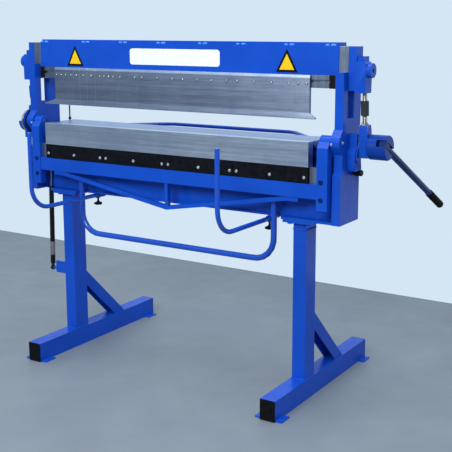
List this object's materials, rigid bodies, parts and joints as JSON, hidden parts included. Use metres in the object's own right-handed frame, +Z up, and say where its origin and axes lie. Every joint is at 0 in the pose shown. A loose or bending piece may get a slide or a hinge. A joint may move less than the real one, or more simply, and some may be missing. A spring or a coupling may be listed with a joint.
{
  "type": "sheet metal folding machine",
  "caption": "Manual sheet metal brake on two legs: segmented clamp beam over a steel bed, swinging apron with handle bar, clamp lever, front and rear sheet supports.",
  "frame": {"origin": "centre of the bottom of the bounding box, on the floor between the two feet", "axes": "+X along the bend line towards the clamp lever, +Z up, -Y towards the operator, who faces +Y"},
  "size_m": [1.7354, 1.0108, 1.353],
  "materials": {
    "blue_paint": "semi-gloss paint",
    "steel": "ground",
    "segment_steel": "ground, with fine scratches",
    "dark_steel": "blackened, oiled",
    "black_steel": "satin black paint",
    "black_plastic": "matte",
    "black_grip": "ribbed rubber"
  },
  "bodies": {
    "frame": {"bed_beam": "blue_paint", "bed_plate": "steel", "rear_support_bow": "blue_paint", "hinge_pin_right": "steel", "leg_left": "blue_paint", "side_housing_left": "blue_paint", "shaft_bearing_left": "blue_paint", "spring_rod_left": "steel", "foot_cap_left_front": "black_plastic", "foot_cap_left_rear": "black_plastic", "leg_right": "blue_paint", "side_housing_right": "blue_paint", "shaft_bearing_right": "blue_paint", "spring_rod_right": "steel", "foot_cap_right_front": "black_plastic", "foot_cap_right_rear": "black_plastic"},
    "apron": {"apron_beam": "blue_paint", "apron_bar": "steel", "apron_blade": "steel", "apron_u_bar": "blue_paint", "scale_disc": "steel", "apron_arm_left": "blue_paint", "apron_arm_right": "blue_paint", "wear_strip_1": "black_plastic", "wear_strip_2": "black_plastic", "wear_strip_3": "black_plastic", "wear_strip_4": "black_plastic"},
    "clamp_beam": {"clamp_beam": "blue_paint", "segment_rail": "steel", "segment_01": "segment_steel", "segment_02": "segment_steel", "segment_03": "segment_steel", "segment_04": "segment_steel", "segment_05": "segment_steel", "segment_06": "segment_steel", "segment_07": "segment_steel", "segment_08": "segment_steel", "segment_09": "segment_steel", "segment_10": "segment_steel", "segment_11": "segment_steel", "end_guide_left": "steel", "link_bracket_left": "blue_paint", "spring_cylinder_left": "black_steel", "end_guide_right": "steel", "link_bracket_right": "blue_paint", "spring_cylinder_right": "black_steel"},
    "clamp_drive": {"clamp_shaft": "dark_steel", "eccentric_hub": "blue_paint", "clamp_lever": "blue_paint", "lever_grip": "black_grip"},
    "link_left": {"link_rod_left": "dark_steel"},
    "turnbuckle_left": {"turnbuckle_left": "dark_steel"},
    "support_arm_left": {"support_arm_left": "blue_paint"},
    "clamp_knob_left": {"clamp_knob_left": "black_plastic"},
    "link_right": {"link_rod_right": "dark_steel"},
    "turnbuckle_right": {"turnbuckle_right": "dark_steel"},
    "support_arm_right": {"support_arm_right": "blue_paint"},
    "clamp_knob_right": {"clamp_knob_right": "black_plastic"},
    "gas_cylinder": {"gas_cylinder": "black_steel"},
    "gas_rod": {"gas_rod": "steel"}
  },
  "joints": [
    {"name": "apron_swing", "type": "hinge", "parent": "frame", "child": "apron", "pos_m": [-0.0317, -0.16738, 1.004], "axis": [-1, 0, 0], "range_deg": [0, 100]},
    {"name": "clamp_lever_turn", "type": "hinge", "parent": "frame", "child": "clamp_drive", "pos_m": [-0.0317, -0.10838, 0.948], "axis": [1, 0, 0], "range_deg": [0, 180]},
    {"name": "clamp_beam_slide", "type": "slide", "parent": "frame", "child": "clamp_beam", "axis": [0, 0, -1], "range_m": [0, 0.0785]},
    {"name": "link_swing_left", "type": "hinge", "parent": "clamp_beam", "child": "link_left", "pos_m": [-0.8347, -0.10838, 1.257], "axis": [-1, 0, 0], "range_deg": [0, 12.5]},
    {"name": "turnbuckle_turn_left", "type": "hinge", "parent": "link_left", "child": "turnbuckle_left", "pos_m": [-0.8347, -0.09978, 1.12328], "axis": [0, -0.0642, 0.9979], "range_deg": [-180, 180]},
    {"name": "support_arm_slide_left", "type": "slide", "parent": "frame", "child": "support_arm_left", "axis": [0, -1, 0], "range_m": [-0.04, 0.025]},
    {"name": "clamp_knob_turn_left", "type": "hinge", "parent": "frame", "child": "clamp_knob_left", "pos_m": [-0.4697, -0.10438, 0.66], "axis": [0, 0, 1], "range_deg": [-180, 180]},
    {"name": "link_swing_right", "type": "hinge", "parent": "clamp_beam", "child": "link_right", "pos_m": [0.7713, -0.10838, 1.257], "axis": [-1, 0, 0], "range_deg": [0, 12.5]},
    {"name": "turnbuckle_turn_right", "type": "hinge", "parent": "link_right", "child": "turnbuckle_right", "pos_m": [0.7713, -0.09978, 1.12328], "axis": [0, -0.0642, 0.9979], "range_deg": [-180, 180]},
    {"name": "support_arm_slide_right", "type": "slide", "parent": "frame", "child": "support_arm_right", "axis": [0, -1, 0], "range_m": [-0.04, 0.025]},
    {"name": "clamp_knob_turn_right", "type": "hinge", "parent": "frame", "child": "clamp_knob_right", "pos_m": [0.4063, -0.13638, 0.66], "axis": [0, 0, 1], "range_deg": [-180, 180]},
    {"name": "gas_spring_tilt", "type": "hinge", "parent": "frame", "child": "gas_cylinder", "pos_m": [-0.7117, -0.14338, 0.34513], "axis": [1, 0, 0], "range_deg": [0, 11.4]},
    {"name": "gas_spring_stroke", "type": "slide", "parent": "gas_cylinder", "child": "gas_rod", "axis": [0.0216, 0, 0.9998], "range_m": [0, 0.112]}
  ],
  "couplings": [
    {"joint": "clamp_beam_slide", "follows": "clamp_lever_turn", "m_per_rad": 0.024828},
    {"joint": "gas_spring_tilt", "follows": "apron_swing", "ratio": 0.1131},
    {"joint": "gas_spring_stroke", "follows": "apron_swing", "m_per_rad": 0.06377}
  ]
}
